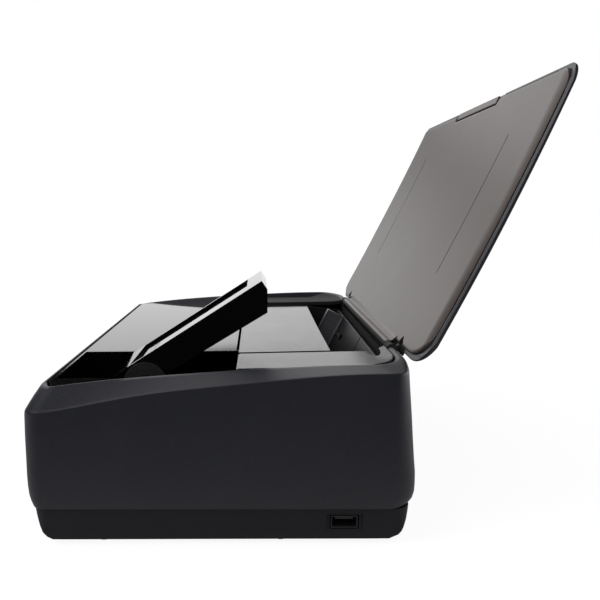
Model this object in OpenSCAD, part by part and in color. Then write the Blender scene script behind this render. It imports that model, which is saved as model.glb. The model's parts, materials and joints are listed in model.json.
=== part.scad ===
// Sheet fed document scanner, an assembly of separate parts in millimetres.
// X runs across the machine, the front faces -Y and Z is up.
// The origin lies on the table under the middle of the case.

/* [Body] */
// Width over the side walls
body_width = 380; // [376:1:388]
// Thickness of the case walls
wall = 3; // [2.4:0.1:3.4]
// Radius of the upright corners of the case
corner_radius = 10; // [9:0.5:14]
// Height of the paper exit in the front wall
exit_height = 14; // [12:0.5:15]

/* [Tray] */
// Angle that the tray is swung open from its closed place
tray_open = 119.6; // [100:0.2:122]
// Length of the tray from its hinge line
tray_reach = 175.2; // [168:0.2:176]
// Radius of the free corners of the tray
tray_corner = 14; // [8:0.5:18]
// Radius of the tray's corners at the hinge side
tray_lobe = 22; // [14:0.5:26]
// Width of the pull-out paper support
extension_width = 216; // [180:2:216]

/* [Feed] */
// Place of the sliding paper guide across the well
guide_x = -61; // [-100:1:-36]
// Height of the paper guide above the chute
guide_height = 14; // [10:0.5:15]
// Radius of the two pick rollers
pick_radius = 10.8; // [10.4:0.1:10.9]
// Tooth thinning that leaves the gears free to turn
gear_play = 0.24; // [0.16:0.02:0.34]

/* [Panel] */
// Lean of the raised control panel
panel_lean = 33.7; // [20:0.1:36]
// Depth of the display glass below the panel face
display_depth = 1.6; // [0.6:0.1:2.2]

/* [Sockets] */
// Place of the side socket along the case
port_y = 62.3; // [50:0.1:64]

/* [Hidden] */
$fn = 64;

w2 = body_width / 2;
deck_z = 80;
deck_x = w2 - 15.9;
ledge_x = 115.4;

// Hinge line of the tray
hinge_y = 94.5;
hinge_z = 91.5;
tray_x = w2 - 6.2;
tray_front = hinge_y - tray_reach;

// Chute of the feed well: its top edge and its lean from upright
chute_y = 89;
chute_z = 87.6;
chute_lean = 26.5;

// Swing arm of the panel: fixed pivot, arm length and the arm's raised angle
arm_y = -58.5;
arm_z = 69;
arm_length = 17.9;
arm_angle = 26.57;
tilt_y = arm_y + arm_length * cos(arm_angle);
tilt_z = arm_z + arm_length * sin(arm_angle);
panel_x0 = 85;
panel_x1 = 155;

// Roller lines of the paper path
feed_y = 34;
exit_y = -68;
roller_z = 24;
roller_r = 8;
pinch_r = 4.5;
pinch_z = roller_z + roller_r + pinch_r + 0.35;

// Gear train in one plane, module 1
gear_x0 = -131;
gear_x1 = -125;
roller_teeth = 24;
idler_teeth = 26;
pick_idler_teeth = 28;
pinion_teeth = 16;
pick_line = 27.35;
pick_step = (roller_teeth + pick_idler_teeth) / 2;
pick_idler_y = feed_y + pick_step * cos(pick_line);
pick_idler_z = roller_z + pick_step * sin(pick_line);
pick_y = feed_y + 2 * pick_step * cos(pick_line);
pick_z = roller_z + 2 * pick_step * sin(pick_line);
idler_a_y = feed_y - (roller_teeth + idler_teeth) / 2;
idler_b_y = idler_a_y - idler_teeth;
idler_c_y = idler_b_y - idler_teeth;
pinion_line = 80;
pinion_step = (idler_teeth + pinion_teeth) / 2;
pinion_y = idler_a_y + pinion_step * cos(pinion_line);
pinion_z = roller_z + pinion_step * sin(pinion_line);

// Turn of a gear so that it meshes with the one before it, seen along line_angle
function mesh_turn(line_angle, turn, teeth, next) =
  line_angle + 180 - 180 / next + (line_angle - turn) * teeth / next;
turn_feed = 0;
turn_a = mesh_turn(180, turn_feed, roller_teeth, idler_teeth);
turn_b = mesh_turn(180, turn_a, idler_teeth, idler_teeth);
turn_c = mesh_turn(180, turn_b, idler_teeth, idler_teeth);
turn_exit = mesh_turn(180, turn_c, idler_teeth, roller_teeth);
turn_pinion = mesh_turn(pinion_line, turn_a, idler_teeth, pinion_teeth);
turn_pick_idler = mesh_turn(pick_line, turn_feed, roller_teeth, pick_idler_teeth);
turn_pick = mesh_turn(pick_line, turn_pick_idler, pick_idler_teeth, roller_teeth);

// Half angle of an involute tooth at radius q, for pitch radius r
function roll(q, rb) = q <= rb ? 0 : acos(rb / q);
function involute(a) = tan(a) * 180 / PI - a;
function half_tooth(q, r, teeth) =
  90 / teeth - gear_play / 2 / r * 180 / PI + involute(20) - involute(roll(q, r * cos(20)));
function ring(r) = [r - 1.2, r - 0.7, r - 0.35, r, r + 0.3, r + 0.6, r + 0.9];
function flank(r, teeth, mid, side) = [for (q = ring(r))
  let (a = mid + side * half_tooth(q, r, teeth)) [q * cos(a), q * sin(a)]];
function turned_back(v) = [for (i = [len(v) - 1:-1:0]) v[i]];
function gear_points(teeth) = [for (i = [0:teeth - 1]) each concat(
  flank(teeth / 2, teeth, i * 360 / teeth, -1),
  turned_back(flank(teeth / 2, teeth, i * 360 / teeth, 1)))];

// Side view outline of the case, inset by t
function case_side(t, zb) = [[-95.6 + t, zb], [-97.2 + t, 26.5], [-99.1 + t, 62], [-99.1 + t, 69.2],
  [-92.9 + t, 79.3 - t * 0.4], [-92.2 + t, 80.1 - t], [-66.8, 83 - t], [-49.5, 84.8 - t],
  [-30, 86.5 - t], [-12, 87.8 - t], [13, 89.4 - t], [38, 90.9 - t], [59, 92 - t], [79, 92.7 - t],
  [88.5, 92.3 - t], [92.2 - t, 90.6 - t], [93.2 - t, 88 - t], [99 - t, 32], [98.4 - t, 26],
  [96 - t, zb]];
function case_front(t, zb) = [[-(w2 - 2.4 - t), zb], [-(w2 - 0.6 - t), 27], [-(w2 - t), 42],
  [-(w2 - t), 110], [w2 - t, 110], [w2 - t, 42], [w2 - 0.6 - t, 27], [w2 - 2.4 - t, zb]];
// Flat facets of the shoulder: place along Y, crease height, slope along Y, slope across
shoulder = [[-80, 70.6, 0.13, 0.908], [-45, 77.8, 0.135, 0.617], [-15, 81.9, 0.095, 0.467],
  [25, 86.2, 0.07, 0.333], [70, 89.5, 0.045, 0.242]];

// Curve of the closed tray's inner face
tray_curve = [[-92, 80.9], [-66.8, 83.6], [-49.5, 85.4], [-30, 87.1], [-12, 88.4], [13, 90],
  [38, 91.5], [59, 92.6], [79, 93.3], [99, 93.7]];
function lifted(v, dz) = [for (p = v) [p[0], p[1] + dz]];
// The curve lifted by dz, less a share of thin that grows towards the free edge
function thinned(v, dz, thin) = [for (p = v)
  [p[0], p[1] + dz - thin * pow(max(0, (20 - p[0]) / 112), 2)]];

// Extrude a Y-Z outline along X
module yz(x0, x1) {
  translate([x0, 0, 0])
    rotate([90, 0, 90])
      linear_extrude(x1 - x0)
        children();
}

// Extrude an X-Z outline along Y
module xz(y0, y1) {
  translate([0, y1, 0])
    rotate([90, 0, 0])
      linear_extrude(y1 - y0)
        children();
}

// Round bar along X
module bar(x0, x1, y, z, r) {
  translate([x0, y, z])
    rotate([0, 90, 0])
      cylinder(h = x1 - x0, r = r);
}

// Box from one corner to the other
module box(a, b) {
  translate(a)
    cube(b - a);
}

// Rounded rectangle from corner a to corner b
module round_rect(a, b, r) {
  translate([a[0] + r, a[1]])
    square([b[0] - a[0] - 2 * r, b[1] - a[1]]);
  translate([a[0], a[1] + r])
    square([b[0] - a[0], b[1] - a[1] - 2 * r]);
  for (x = [a[0] + r, b[0] - r])
    for (y = [a[1] + r, b[1] - r])
      translate([x, y])
        circle(r);
}

// Everything above a sloping plane through p
module above(p, slope_y, slope_x) {
  tip = atan(-slope_x);
  translate(p)
    rotate([atan(slope_y * cos(tip)), tip, 0])
      translate([-500, -500, 0])
        cube([1000, 1000, 300]);
}

module case_block(t, zb) {
  difference() {
    intersection() {
      yz(-w2 - 1, w2 + 1)
        polygon(case_side(t, zb));
      xz(-120, 120)
        polygon(case_front(t, zb));
      translate([0, 0, zb])
        linear_extrude(100)
          round_rect([-w2 + t, -99.1 + t], [w2 - t, 99 - t], corner_radius - t);
    }
    for (s = shoulder) {
      above([w2, s[0], s[1] - t * 1.4], s[2], -s[3]);
      above([-w2, s[0], s[1] - t * 1.4], s[2], s[3]);
    }
  }
}

module main_case() {
  color([0.13, 0.13, 0.145])
    difference() {
      union() {
        difference() {
          case_block(0, 20);
          case_block(wall, 19);
          translate([0, 0, 60])
            linear_extrude(60) {
              round_rect([-w2 + 15.5, -90.3], [w2 - 15.5, 40], 10);
              round_rect([-w2 + 15.5, 0], [w2 - 15.5, 87.5], 17);
            }
          box([-124.5, 80, 82], [124.5, 110, 120]);
        }
        intersection() {
          case_block(1.2, 19);
          union() {
            for (s = [-1, 1])
              box([s * (w2 - 13) - 11, -80, 74], [s * (w2 - 13) + 11, 80, 77]);
            box([-160, -96, 74], [70, -85, 77]);
          }
        }
        for (s = [-1, 1])
          for (y = [-60, 30]) {
            translate([s * (w2 - 12), y, 5.9])
              cylinder(h = 54, r = 3.5);
            box([s * (w2 - 7) - 5, y - 1.2, 30], [s * (w2 - 7) + 5, y + 1.2, 59]);
          }
      }
      box([-114, -110, 27], [114, -80, 27 + exit_height]);
      translate([150, -80, 45])
        rotate([90, 0, 0])
          cylinder(h = 30, r = 6.4);
      for (s = [-1, 1])
        for (y = [-60, 30])
          translate([s * (w2 - 12), y, 5])
            cylinder(h = 18, r = 1.55);
    }
}

module base_block() {
  intersection() {
    yz(-w2, w2)
      polygon([[-81, 1.2], [-85.4, 2.4], [-88.8, 4.4], [-90.9, 7.3], [-92.3, 10.6], [-94.8, 19.7],
        [96.4, 19.7], [94.6, 12.5], [93, 8.6], [90.6, 5.2], [85.6, 2.6], [77, 1.2]]);
    xz(-120, 120)
      polygon([[-(w2 - 10), 1.2], [-(w2 - 6.4), 2.8], [-(w2 - 4.8), 8], [-(w2 - 3.2), 19.7],
        [w2 - 3.2, 19.7], [w2 - 4.8, 8], [w2 - 6.4, 2.8], [w2 - 10, 1.2]]);
    linear_extrude(30)
      round_rect([-w2 + 3, -95], [w2 - 3, 96.6], 11);
  }
}

module base_pan() {
  color([0.11, 0.11, 0.12])
    difference() {
      union() {
        difference() {
          base_block();
          intersection() {
            yz(-w2, w2)
              polygon([[-84.6, 3.6], [-89, 10], [-91.4, 21], [93, 21], [91.4, 12], [85.4, 3.6]]);
            xz(-120, 120)
              polygon([[-(w2 - 8.6), 3.6], [-(w2 - 6), 21], [w2 - 6, 21], [w2 - 8.6, 3.6]]);
            linear_extrude(30)
              round_rect([-w2 + 5.6, -91.7], [w2 - 5.6, 93.2], 8.5);
          }
        }
        for (s = [-1, 1]) {
          for (y = [-60, 30])
            translate([s * (w2 - 12), y, 3])
              cylinder(h = 2.9, r = 5);
          box([s * 100 - 4, -16, 3], [s * 100 + 4, -6, 14]);
        }
        for (x = [132, 167])
          for (y = [-44, 76])
            translate([x, y, 3])
              cylinder(h = 4.4, r = 3);
      }
      for (s = [-1, 1]) {
        for (y = [-60, 30])
          translate([s * (w2 - 12), y, 0]) {
            cylinder(h = 8, r = 1.7);
            cylinder(h = 3.4, r = 3.3);
          }
        for (y = [-62, 62])
          translate([s * 152, y, 0])
            cylinder(h = 2, r = 7.2);
      }
      cylinder(h = 2, r = 7.2);
      box([w2 - 12, port_y - 7.5, 8.6], [w2, port_y + 7.5, 15.8]);
      box([w2 - 5.2, port_y - 9.4, 6.4], [w2, port_y + 9.4, 17.2]);
      box([135.6, 85, 8.6], [145.4, 100, 12.6]);
      box([151.6, 85, 8.6], [161.4, 100, 18.4]);
    }
}

module rubber_feet() {
  color([0.05, 0.05, 0.05]) {
    for (x = [-152, 152])
      for (y = [-62, 62])
        translate([x, y, 0])
          cylinder(h = 2, r = 7);
    cylinder(h = 2, r = 7);
  }
}

module base_screws() {
  color([0.55, 0.55, 0.57])
    for (x = [-w2 + 12, w2 - 12])
      for (y = [-60, 30])
        translate([x, y, 0])
          difference() {
            union() {
              translate([0, 0, 1.4])
                cylinder(h = 2, r = 3);
              translate([0, 0, 3.4])
                cylinder(h = 15, r = 1.5);
            }
            for (a = [0, 90])
              rotate([0, 0, a])
                translate([-1.8, -0.4, 1])
                  cube([3.6, 0.8, 1.4]);
          }
}

module front_deck() {
  color([0.03, 0.03, 0.035])
    difference() {
      union() {
        translate([0, 0, 77])
          linear_extrude(3)
            round_rect([-deck_x, -90], [deck_x, 8], 9.8);
        box([78.2, -90, 59.6], [161.8, 8, 80]);
        for (s = [-1, 1]) {
          yz(s * 99.6 - 2, s * 99.6 + 2)
            polygon([[6, 77], [13.4, 77], [12.6, 82], [7.6, 82]]);
          bar(s * 99.6 - 2, s * 99.6 + 2, 10, 82, 2.6);
          bar(min(s * 90, s * 99), max(s * 90, s * 99), 10, 82, 1.25);
        }
      }
      difference() {
        box([80.7, -88.9, 61.6], [159.3, 5.9, 81]);
        bar(80, 82.9, arm_y, arm_z, 2);
        bar(157.1, 160, arm_y, arm_z, 2);
      }
    }
}

module ledge_plan(t) {
  round_rect([100, -40], [deck_x - t, 87.2 - t], 16.7 - t);
}

module ledge_shape(t, zb) {
  difference() {
    intersection() {
      box([ledge_x + t, 6 + t, zb], [deck_x, 87.2, 100]);
      linear_extrude(100)
        ledge_plan(t);
    }
    above([113.6, 6, 86.33 - t], 0.032, 0.045);
  }
}

module ledge_body() {
  difference() {
    union() {
      difference() {
        ledge_shape(0, 77);
        ledge_shape(2.4, 76);
      }
      intersection() {
        yz(ledge_x + 1, deck_x)
          polygon([[78, 86], [78, 88.5], [83, 89.3], [87.2, 91], [87.2, 86]]);
        linear_extrude(100)
          ledge_plan(0);
      }
    }
    box([110, 5, 70], [deck_x + 1, 8.6, 80.4]);
  }
}

module ledge_right() {
  color([0.12, 0.12, 0.13])
    difference() {
      ledge_body();
      translate([ledge_x, 80, 84.6])
        cylinder(h = 20, r = 5);
    }
}

module ledge_left() {
  color([0.12, 0.12, 0.13])
    mirror([1, 0, 0])
      ledge_body();
}

module access_door() {
  color([0.12, 0.12, 0.13])
    difference() {
      union() {
        yz(-112.2, 112.2)
          polygon([[6, 85.6], [6, 86.33], [60, 88.06], [60, 85.2], [14, 83.7], [8.5, 83.4]]);
        for (s = [-1, 1])
          yz(s * 93.4 - 3.4, s * 93.4 + 3.4) {
            translate([10, 82])
              circle(2.6);
            polygon([[7.6, 82], [12.6, 82], [13, 84.2], [8.4, 84]]);
          }
      }
      for (s = [-1, 1]) {
        bar(s * 93.4 - 4, s * 93.4 + 4, 10, 82, 1.31);
        bar(s * 99.6 - 2.4, s * 99.6 + 2.4, 10, 82, 2.9);
      }
    }
}

// Frame of the chute: Z runs up the slope, Y points behind it
module chute() {
  translate([0, chute_y, chute_z])
    rotate([-chute_lean, 0, 0])
      children();
}

module feed_well() {
  color([0.09, 0.09, 0.1])
    difference() {
      union() {
        yz(-113.2, 113.2)
          polygon([[89, 87.6], [70.26, 50], [66.2, 43.6], [60.5, 38], [53.5, 33.9], [46, 31.7],
            [41.6, 31.3], [41.6, 28.95], [46.4, 29.3], [54.4, 31.6], [62, 36.1], [68.2, 42.2],
            [72.4, 48.9], [91.15, 86.5]]);
        for (s = [-1, 1])
          yz(s * 112.2 - 1, s * 112.2 + 1)
            polygon([[61.4, 86.9], [89, 87.6], [70.26, 50], [60.5, 38], [53.5, 33.9], [51, 40],
              [57, 62]]);
      }
      chute()
        box([-110, -1, -20.4], [-28, 4, -14.2]);
      chute()
        box([39, -1, -42], [41, 0.8, 1]);
      for (s = [-1, 1])
        bar(s * 17 - 11.6, s * 17 + 11.6, pick_y, pick_z, 11.5);
    }
}

module paper_guide() {
  color([0.14, 0.14, 0.15])
    translate([guide_x, 0, 0])
      chute() {
        box([-7, -0.4 - guide_height, -38], [0, -0.4, -3.7]);
        box([-6, -0.5, -19.9], [-1, 2.9, -14.7]);
        box([-7, 2.8, -24], [0, 4.6, -10]);
      }
}

module hinge_bar() {
  color([0.1, 0.1, 0.11])
    difference() {
      union() {
        yz(-124, 124)
          polygon([[91.5, 82], [93.77, 82], [93.2, 88.7], [91.6, 88.7]]);
        for (s = [-1, 1])
          yz(s * 114 - 3, s * 114 + 3) {
            translate([hinge_y, hinge_z])
              circle(2.7);
            polygon([[91.6, 86], [93.4, 86], [96.8, 90.2], [92.1, 92.2]]);
          }
      }
      bar(-118, 118, hinge_y, hinge_z, 1.22);
    }
}

module hinge_pins() {
  color([0.6, 0.6, 0.62])
    for (s = [-1, 1])
      bar(s * 113 - 8, s * 113 + 8, hinge_y, hinge_z, 1.2);
}

// Put a part drawn with the tray closed into the tray's open place
module opened() {
  translate([0, hinge_y, hinge_z])
    rotate([-tray_open, 0, 0])
      translate([0, -hinge_y, -hinge_z])
        children();
}

// Plan of the tray, inset by t
module tray_plan(t) {
  intersection() {
    round_rect([-tray_x + t, tray_front + t], [tray_x - t, 140], tray_corner - t / 2);
    round_rect([-tray_x + t, -140], [tray_x - t, 92.2 - t], tray_lobe - t / 2);
    polygon([[-tray_x + t, 100], [-tray_x + t, 30], [-tray_x + 4 + t, tray_front],
      [tray_x - 4 - t, tray_front], [tray_x - t, 30], [tray_x - t, 100]]);
  }
}

module tray_layer(z0, z1, t, thin = 0) {
  difference() {
    intersection() {
      yz(-tray_x, tray_x)
        polygon(concat(lifted(tray_curve, z0), turned_back(thinned(tray_curve, z1, thin))));
      translate([0, 0, 60])
        linear_extrude(60)
          tray_plan(t);
    }
    for (s = [-1, 1])
      box([s * 125.7 - 2.7, 84.4, 60], [s * 125.7 + 2.7, 120, 120]);
  }
}

// Straight slide space of the paper support inside the tray
module slide_frame() {
  translate([0, -20, 89.75])
    rotate([4.48, 0, 0])
      children();
}

module tray_cover() {
  color([0.13, 0.13, 0.145])
    opened()
      difference() {
        union() {
          tray_layer(2.02, 4.2, 0, 1.2);
          intersection() {
            tray_layer(2.5, 6.2, 5);
            box([-tray_x + 16, -200, 0], [tray_x - 16, 100, 200]);
          }
          yz(-123, 123) {
            polygon([[82, 95.5], [82, 97.5], [94.6, 95.1], [96.7, 92.9], [94.5, 91.5],
              [92.2, 92.7], [91.6, 93.35], [87.35, 93.6], [87.35, 95.5]]);
            translate([hinge_y, hinge_z])
              circle(2.7);
          }
        }
        slide_frame()
          box([-extension_width / 2 - 0.6, -90, -3], [extension_width / 2 + 0.6, 62, 2.3]);
        for (s = [-1, 1])
          bar(s * 114 - 3.6, s * 114 + 3.6, hinge_y, hinge_z, 7.2);
        bar(-121.4, 121.4, hinge_y, hinge_z, 1.26);
      }
}

module tray_liner() {
  color([0.14, 0.14, 0.15])
    opened()
      difference() {
        intersection() {
          tray_layer(0, 2, 0.8);
          union() {
            box([-200, -200, 0], [200, 87.2, 200]);
            for (s = [-1, 1])
              box([s * 160 - 33, 80, 0], [s * 160 + 33, 100, 200]);
          }
        }
        linear_extrude(120)
          polygon([[-57, tray_front - 1], [57, tray_front - 1], [53, tray_front + 7.4],
            [-53, tray_front + 7.4]]);
        for (x = [-101, 119])
          slide_frame()
            box([x - 0.4, -52, -6], [x + 0.4, 66, -1.6]);
        for (s = [-1, 1])
          bar(s * 114 - 3.6, s * 114 + 3.6, hinge_y, hinge_z, 7.2);
      }
}

module tray_extension() {
  color([0.13, 0.13, 0.14])
    opened()
      slide_frame() {
        box([-extension_width / 2, tray_front + 20.8, 0.4], [extension_width / 2, 60, 1.9]);
        box([-50, tray_front + 20.8, -2.4], [50, tray_front + 26, 0.5]);
      }
}

// Frame of the panel: origin on its tilt line, Y along the face, Z out of it
module panel_frame() {
  translate([0, tilt_y, tilt_z])
    rotate([panel_lean, 0, 0])
      children();
}

module panel_profile() {
  polygon([[-11.5, 12.4], [81.6, 12.4], [81.7, 6.9], [75, -3.5], [7, -1.6], [-1, -3], [-6, 1],
    [-11.5, 8.6]]);
  circle(5.6);
}

module panel_shell() {
  color([0.025, 0.025, 0.03])
    panel_frame()
      difference() {
        yz(panel_x0, panel_x1)
          panel_profile();
        box([panel_x0 + 3, -2.5, 11.1 - display_depth], [panel_x1 - 3, 72, 13]);
        box([panel_x0 + 11, 14, 5], [panel_x1 - 11, 66, 12]);
        box([panel_x0 + 2, 9, -10], [panel_x1 - 2, 72, 7.2]);
        bar(panel_x0 - 1, panel_x1 + 1, 0, 0, 2.06);
      }
}

module panel_caps() {
  color([0.16, 0.16, 0.17])
    panel_frame()
      difference() {
        intersection() {
          union() {
            bar(panel_x0 - 1.4, panel_x0, 0, 0, 11.4);
            bar(panel_x1, panel_x1 + 1.4, 0, 0, 11.4);
          }
          box([panel_x0 - 5, -20, -3], [panel_x1 + 5, 20, 20]);
        }
        bar(panel_x0 - 2, panel_x1 + 2, 0, 0, 2.06);
      }
}

module display_glass() {
  color([0.02, 0.02, 0.025])
    panel_frame()
      box([panel_x0 + 3.2, -2.3, 11.1 - display_depth], [panel_x1 - 3.2, 71.8, 12.4 - display_depth]);
}

module display_module() {
  color([0.2, 0.22, 0.24])
    panel_frame()
      box([panel_x0 + 10, 13, 2.8], [panel_x1 - 10, 67, 7.2]);
}

module panel_back() {
  color([0.1, 0.1, 0.11])
    panel_frame()
      yz(panel_x0 + 2.2, panel_x1 - 2.2)
        polygon([[9.2, -1.7], [71.8, -3.4], [71.8, -1.4], [9.2, 0.3]]);
}

module panel_arm() {
  color([0.1, 0.1, 0.11])
    union() {
      for (x = [panel_x0 - 3.9, panel_x1 + 1.9])
        yz(x, x + 2)
          difference() {
            union() {
              translate([arm_y, arm_z])
                circle(6);
              translate([tilt_y, tilt_z])
                circle(6);
              translate([arm_y, arm_z])
                rotate(arm_angle)
                  translate([0, -5])
                    square([arm_length, 10]);
            }
            translate([arm_y, arm_z])
              circle(2.06);
          }
      bar(panel_x0 - 3.9, panel_x1 + 3.9, tilt_y, tilt_z, 2);
    }
}

module usb_host_port() {
  color([0.62, 0.62, 0.64])
    difference() {
      box([w2 - 20, port_y - 6.9, 9], [w2 - 5.4, port_y + 6.9, 15.4]);
      difference() {
        box([w2 - 18, port_y - 6.3, 9.6], [w2, port_y + 6.3, 14.8]);
        box([w2 - 19, port_y - 4.8, 12.6], [w2 - 8, port_y + 4.8, 14]);
      }
    }
}

module usb_device_port() {
  color([0.62, 0.62, 0.64])
    difference() {
      box([136, 82, 9], [145, 92.6, 12.2]);
      difference() {
        box([136.4, 84, 9.4], [144.6, 93, 11.8]);
        box([137.4, 83, 10.3], [143.6, 91.6, 10.9]);
      }
    }
}

module power_inlet() {
  color([0.07, 0.07, 0.075])
    difference() {
      box([152, 79, 9], [161, 92.6, 18]);
      difference() {
        translate([156.5, 93, 13.5])
          rotate([90, 0, 0])
            cylinder(h = 10, r = 3.1);
        translate([156.5, 92, 13.5])
          rotate([90, 0, 0])
            cylinder(h = 12, r = 0.9);
      }
    }
}

module main_board() {
  color([0.08, 0.24, 0.14])
    difference() {
      union() {
        box([126, -50, 7.4], [171.5, 86, 9]);
        box([150, 50, 7.4], [w2 - 10, 76, 9]);
        box([134, -30, 9], [156, -8, 10.8]);
        box([140, 10, 9], [152, 22, 10.4]);
      }
      for (x = [132, 167])
        for (y = [-44, 76])
          translate([x, y, 7])
            cylinder(h = 4, r = 1.3);
    }
}

module side_plate(x0) {
  difference() {
    yz(x0, x0 + 2.5)
      polygon([[-78, 3.6], [84, 3.6], [88, 40], [88, 53], [70, 54], [-78, 54]]);
    bar(x0 - 1, x0 + 4, feed_y, roller_z, 3.05);
    bar(x0 - 1, x0 + 4, exit_y, roller_z, 3.05);
    bar(x0 - 1, x0 + 4, pick_y, pick_z, 3.05);
  }
}

module side_plate_right() {
  color([0.6, 0.61, 0.63])
    side_plate(119.5);
}

module side_plate_left() {
  color([0.6, 0.61, 0.63])
    difference() {
      side_plate(-122);
      for (y = [idler_a_y, idler_b_y, idler_c_y])
        bar(-123, -119, y, roller_z, 2.02);
      bar(-123, -119, pick_idler_y, pick_idler_z, 2.02);
    }
}

module gear_pins() {
  color([0.6, 0.6, 0.62])
    union() {
      for (y = [idler_a_y, idler_b_y, idler_c_y])
        bar(-132.4, -119.5, y, roller_z, 2);
      bar(-132.4, -119.5, pick_idler_y, pick_idler_z, 2);
    }
}

module lower_guide() {
  color([0.1, 0.1, 0.11])
    difference() {
      box([-119.3, -93, 29.2], [119.3, 39.2, 31.2]);
      box([-112.6, -20.6, 20], [112.6, -1.4, 40]);
      for (s = [-1, 1]) {
        box([s * 45 - 12.6, feed_y - 7.6, 20], [s * 45 + 12.6, feed_y + 7.6, 40]);
        box([s * 45 - 12.6, exit_y - 7.6, 20], [s * 45 + 12.6, exit_y + 7.6, 40]);
      }
    }
}

module pinch_lugs(y, z0, z1, d) {
  for (x = [-62, -28, 28, 62])
    box([x - 2, y - d, z0], [x + 2, y + d, z1]);
}

module upper_guide() {
  color([0.1, 0.1, 0.11])
    difference() {
      union() {
        difference() {
          union() {
            yz(-110.8, 110.8)
              polygon([[60.6, 83], [58.5, 75], [54, 63], [48.5, 53], [41, 44.5], [32, 38.8],
                [22, 36.2], [8, 35.6], [-93, 35.6], [-93, 37.6], [8, 37.6], [21.6, 38.2],
                [31.3, 40.7], [39.8, 46.2], [46.9, 54.2], [52.2, 64], [56.6, 75.6], [58.6, 83]]);
            box([-118, -93, 35.6], [118, 8, 37.6]);
          }
          box([-110.4, -22.4, 30], [110.4, 0.4, 60]);
          box([-64, exit_y - 3.4, 30], [64, exit_y + 3.4, 45]);
          for (s = [-1, 1]) {
            box([s * 45 - 12.6, exit_y - 6.4, 30], [s * 45 + 12.6, exit_y + 6.4, 45]);
            bar(s * 45 - 12.6, s * 45 + 12.6, feed_y, pinch_z, 5.4);
          }
        }
        pinch_lugs(exit_y, 35.6, 41, 6);
        pinch_lugs(feed_y, 34.4, 42, 4.5);
        for (s = [-1, 1])
          yz(s * 21.3 - 1.7, s * 21.3 + 1.7) {
            translate([55.5, 47])
              circle(3.4);
            polygon([[47.5, 53.5], [44, 48.6], [54, 44], [57.5, 49.4]]);
          }
      }
      bar(-64.5, 64.5, feed_y, pinch_z, 2.06);
      bar(-64.5, 64.5, exit_y, pinch_z, 2.06);
      bar(-24, 24, 55.5, 47, 1.56);
    }
}

module sensor_bar() {
  color([0.06, 0.06, 0.065])
    difference() {
      box([-112, -20, 14], [112, -2, 29.4]);
      box([-108, -14, 22], [108, -8, 30]);
    }
}

module sensor_glass() {
  color([0.75, 0.85, 0.88])
    box([-111, -19, 29.4], [111, -3, 31]);
}

module white_platen() {
  color([0.88, 0.88, 0.86])
    union() {
      box([-110, -22, 32.6], [110, 0, 37.7]);
      box([-114, -25, 37.6], [114, 3, 39.6]);
    }
}

module drive_motor() {
  color([0.5, 0.5, 0.52])
    difference() {
      union() {
        bar(-168, -136.2, pinion_y, pinion_z, 13);
        bar(-137, -134.2, pinion_y, pinion_z, 4);
        bar(-171, -167, pinion_y, pinion_z, 5);
      }
      bar(-136.2, -134, pinion_y, pinion_z, 1.56);
    }
}

module motor_bracket() {
  color([0.6, 0.61, 0.63])
    difference() {
      union() {
        yz(-136.2, -134.2)
          polygon([[-12, 38], [37, 38], [37, 55], [24, 60], [1, 60], [-12, 55]]);
        bar(-135, -122, -8, 49.5, 3);
        bar(-135, -122, 33, 49.5, 3);
      }
      bar(-137, -134, pinion_y, pinion_z, 4.05);
    }
}

module gear(teeth, y, z, turn, bore) {
  difference() {
    translate([0, y, z])
      rotate([turn, 0, 0])
        yz(gear_x0, gear_x1)
          polygon(gear_points(teeth));
    bar(gear_x0 - 1, gear_x1 + 1, y, z, bore);
  }
}

module motor_pinion() {
  color([0.75, 0.62, 0.3])
    union() {
      gear(pinion_teeth, pinion_y, pinion_z, turn_pinion, 1.5);
      bar(-136, gear_x1, pinion_y, pinion_z, 1.5);
    }
}

module idler_gear_a() {
  color([0.86, 0.86, 0.82])
    gear(idler_teeth, idler_a_y, roller_z, turn_a, 2.06);
}

module idler_gear_b() {
  color([0.86, 0.86, 0.82])
    gear(idler_teeth, idler_b_y, roller_z, turn_b, 2.06);
}

module idler_gear_c() {
  color([0.86, 0.86, 0.82])
    gear(idler_teeth, idler_c_y, roller_z, turn_c, 2.06);
}

module pick_idler() {
  color([0.86, 0.86, 0.82])
    gear(pick_idler_teeth, pick_idler_y, pick_idler_z, turn_pick_idler, 2.06);
}

module feed_gear() {
  color([0.86, 0.86, 0.82])
    gear(roller_teeth, feed_y, roller_z, turn_feed, 3.01);
}

module exit_gear() {
  color([0.86, 0.86, 0.82])
    gear(roller_teeth, exit_y, roller_z, turn_exit, 3.01);
}

module pick_gear() {
  color([0.86, 0.86, 0.82])
    gear(roller_teeth, pick_y, pick_z, turn_pick, 3.01);
}

module roller_shaft(y, z) {
  color([0.66, 0.66, 0.68])
    bar(-132.6, 123, y, z, 3);
}

module roller_pair(x, half, y, z, r) {
  for (s = [-1, 1])
    difference() {
      bar(s * x - half, s * x + half, y, z, r);
      bar(s * x - half - 1, s * x + half + 1, y, z, 3.01);
    }
}

module feed_shaft() {
  roller_shaft(feed_y, roller_z);
}

module exit_shaft() {
  roller_shaft(exit_y, roller_z);
}

module pick_shaft() {
  roller_shaft(pick_y, pick_z);
}

module feed_rollers() {
  color([0.12, 0.12, 0.12])
    roller_pair(45, 12, feed_y, roller_z, roller_r);
}

module exit_rollers() {
  color([0.12, 0.12, 0.12])
    roller_pair(45, 12, exit_y, roller_z, roller_r);
}

module pick_rollers() {
  color([0.16, 0.16, 0.17])
    roller_pair(17, 11, pick_y, pick_z, pick_radius);
}

module pinch(y) {
  color([0.8, 0.8, 0.78])
    union() {
      bar(-64.4, 64.4, y, pinch_z, 2);
      bar(-57, -33, y, pinch_z, pinch_r);
      bar(33, 57, y, pinch_z, pinch_r);
    }
}

module feed_pinch() {
  pinch(feed_y);
}

module exit_pinch() {
  pinch(exit_y);
}

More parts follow.
